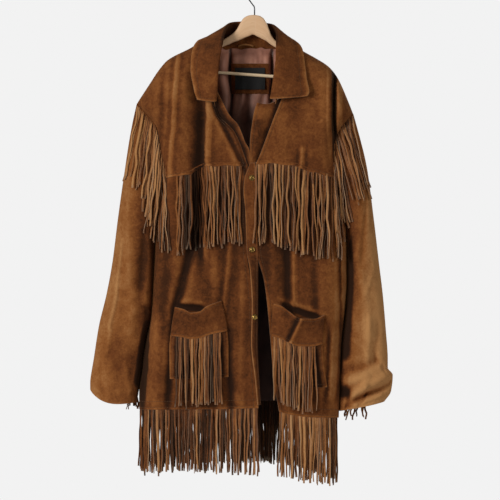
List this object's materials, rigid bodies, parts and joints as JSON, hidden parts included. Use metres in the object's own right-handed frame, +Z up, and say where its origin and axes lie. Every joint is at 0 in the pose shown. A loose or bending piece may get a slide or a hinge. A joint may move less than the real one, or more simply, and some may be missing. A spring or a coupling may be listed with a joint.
{
  "type": "fringed suede jacket on a wooden hanger",
  "caption": "Brown suede jacket with fringed yoke, armholes, pockets and hem, open collar and snap front, hanging on a wooden hanger.",
  "frame": {"origin": "inner top of the hanger's hook, where a rail carries it", "axes": "+Z up, the front of the jacket faces -Y, +X to the right as seen from the front"},
  "size_m": [0.7228, 0.1357, 1.2054],
  "materials": {
    "suede": "napped brown cowhide suede",
    "suede_fringe": "cut suede strands with paler raw edges",
    "lining_satin": "burgundy-brown acetate satin lining",
    "label_cloth": "plain dark woven label, bare",
    "beech": "smooth lacquered beech",
    "hook_steel": "dark steel wire",
    "antique_brass": "antiqued brass snap caps"
  },
  "bodies": {
    "root": {"yoke_left": "suede", "yoke_right": "suede", "front_left": "suede", "front_right": "suede", "back": "suede", "sleeve_left": "suede", "sleeve_right": "suede", "collar": "suede", "facing_left": "suede", "facing_right": "suede", "snap_strip": "suede", "pocket_left": "suede", "pocket_right": "suede", "pocket_band_left": "suede", "pocket_band_right": "suede", "label_patch": "suede", "hang_loop": "suede", "fringe_yoke_left": "suede_fringe", "fringe_yoke_right": "suede_fringe", "fringe_armhole_left_front": "suede_fringe", "fringe_armhole_left_back": "suede_fringe", "fringe_armhole_right_front": "suede_fringe", "fringe_armhole_right_back": "suede_fringe", "fringe_pocket_left": "suede_fringe", "fringe_pocket_right": "suede_fringe", "fringe_hem_left": "suede_fringe", "fringe_hem_right": "suede_fringe", "fringe_hem_back": "suede_fringe", "fringe_cuff_left": "suede_fringe", "fringe_cuff_right": "suede_fringe", "lining_back": "lining_satin", "label": "label_cloth", "hanger_wood": "beech", "hanger_bar": "beech", "hanger_hook": "hook_steel", "snap_top": "antique_brass", "snap_middle": "antique_brass", "snap_bottom": "antique_brass"}
  },
  "joints": []
}
